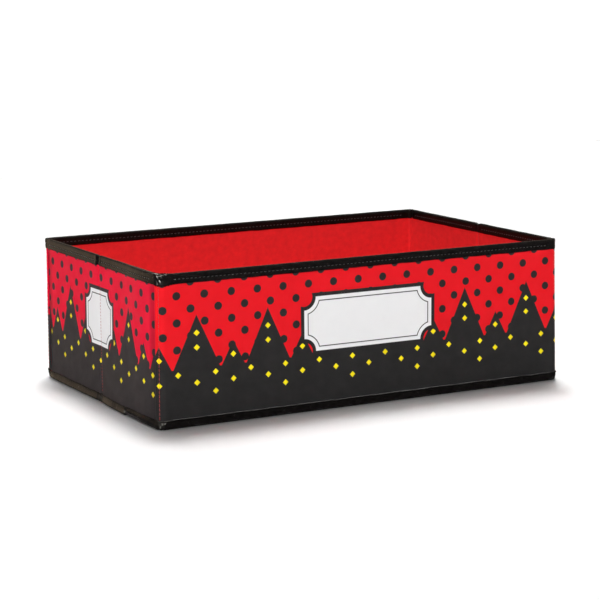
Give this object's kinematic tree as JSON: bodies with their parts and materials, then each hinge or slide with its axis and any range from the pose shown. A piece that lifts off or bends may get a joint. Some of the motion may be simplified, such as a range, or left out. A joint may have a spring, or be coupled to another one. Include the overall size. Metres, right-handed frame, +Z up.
{
  "type": "art supply box",
  "caption": "Open-topped rectangular folding bin for art supplies: printed laminated walls on board stiffeners, bound rim and foot, ends that crease inwards to fold flat.",
  "frame": {"origin": "middle of the foot, on the surface the bin stands on", "axes": "+X along the length, +Y from the front wall to the rear wall, +Z up"},
  "size_m": [0.3878, 0.2488, 0.127],
  "materials": {
    "printed_cover": "laminated printed cloth, semi-gloss",
    "lining_cloth": "plain red non-woven cloth",
    "binding_tape": "glossy black vinyl tape",
    "thread": "lockstitched polyester thread",
    "grey_board": "grey board"
  },
  "bodies": {
    "front_wall": {"front_board": "grey_board", "front_cover": "printed_cover", "front_lining": "lining_cloth", "front_top_binding": "binding_tape", "front_bottom_binding": "binding_tape", "front_top_thread": "thread", "front_left_seam": "lining_cloth", "front_left_hinge_fold": "lining_cloth", "front_right_seam": "lining_cloth", "front_right_hinge_fold": "lining_cloth", "front_floor_seam": "lining_cloth"},
    "rear_wall": {"rear_board": "grey_board", "rear_cover": "printed_cover", "rear_lining": "lining_cloth", "rear_top_binding": "binding_tape", "rear_bottom_binding": "binding_tape", "rear_top_thread": "thread", "rear_left_seam": "lining_cloth", "rear_left_hinge_fold": "lining_cloth", "rear_right_seam": "lining_cloth", "rear_right_hinge_fold": "lining_cloth", "rear_floor_seam": "lining_cloth"},
    "left_front_panel": {"left_front_board": "grey_board", "left_front_cover": "printed_cover", "left_front_lining": "lining_cloth", "left_front_top_binding": "binding_tape", "left_front_bottom_binding": "binding_tape", "left_front_top_thread": "thread", "left_front_gusset": "lining_cloth", "left_crease_fold": "printed_cover"},
    "left_rear_panel": {"left_rear_board": "grey_board", "left_rear_cover": "printed_cover", "left_rear_lining": "lining_cloth", "left_rear_top_binding": "binding_tape", "left_rear_bottom_binding": "binding_tape", "left_rear_top_thread": "thread", "left_rear_gusset": "lining_cloth"},
    "right_front_panel": {"right_front_board": "grey_board", "right_front_cover": "printed_cover", "right_front_lining": "lining_cloth", "right_front_top_binding": "binding_tape", "right_front_bottom_binding": "binding_tape", "right_front_top_thread": "thread", "right_front_gusset": "lining_cloth", "right_crease_fold": "printed_cover"},
    "right_rear_panel": {"right_rear_board": "grey_board", "right_rear_cover": "printed_cover", "right_rear_lining": "lining_cloth", "right_rear_top_binding": "binding_tape", "right_rear_bottom_binding": "binding_tape", "right_rear_top_thread": "thread", "right_rear_gusset": "lining_cloth"},
    "front_floor_half": {"front_floor_under_cloth": "lining_cloth", "front_floor_board": "grey_board", "front_floor_top_cloth": "lining_cloth", "floor_crease_cloth": "lining_cloth"},
    "rear_floor_half": {"rear_floor_under_cloth": "lining_cloth", "rear_floor_board": "grey_board", "rear_floor_top_cloth": "lining_cloth"}
  },
  "joints": [
    {"name": "fold", "type": "hinge", "parent": "front_wall", "child": "left_front_panel", "pos_m": [-0.1904, -0.1169, 0.0635], "axis": [0, 0, -1], "range_deg": [0, 88], "deforming": ["left_front_gusset", "left_rear_gusset", "right_front_gusset", "right_rear_gusset", "floor_crease_cloth"]},
    {"name": "left_crease", "type": "hinge", "parent": "left_front_panel", "child": "left_rear_panel", "pos_m": [-0.19385, 0, 0.0635], "axis": [0, 0, 1], "range_deg": [0, 176]},
    {"name": "rear_left_corner", "type": "hinge", "parent": "left_rear_panel", "child": "rear_wall", "pos_m": [-0.1904, 0.1169, 0.0635], "axis": [0, 0, -1], "range_deg": [0, 88]},
    {"name": "right_fold", "type": "hinge", "parent": "front_wall", "child": "right_front_panel", "pos_m": [0.1904, -0.1169, 0.0635], "axis": [0, 0, 1], "range_deg": [0, 88]},
    {"name": "right_crease", "type": "hinge", "parent": "right_front_panel", "child": "right_rear_panel", "pos_m": [0.19385, 0, 0.0635], "axis": [0, 0, -1], "range_deg": [0, 176]},
    {"name": "floor_front_hinge", "type": "hinge", "parent": "front_wall", "child": "front_floor_half", "pos_m": [0, -0.1169, 0.00045], "axis": [1, 0, 0], "range_deg": [0, 88]},
    {"name": "floor_crease", "type": "hinge", "parent": "front_floor_half", "child": "rear_floor_half", "pos_m": [0, 0, -0.003], "axis": [-1, 0, 0], "range_deg": [0, 176]}
  ],
  "couplings": [
    {"joint": "left_crease", "follows": "fold", "ratio": 2},
    {"joint": "rear_left_corner", "follows": "fold", "ratio": 1},
    {"joint": "right_fold", "follows": "fold", "ratio": 1},
    {"joint": "right_crease", "follows": "fold", "ratio": 2},
    {"joint": "floor_front_hinge", "follows": "fold", "ratio": 1},
    {"joint": "floor_crease", "follows": "fold", "ratio": 2}
  ]
}
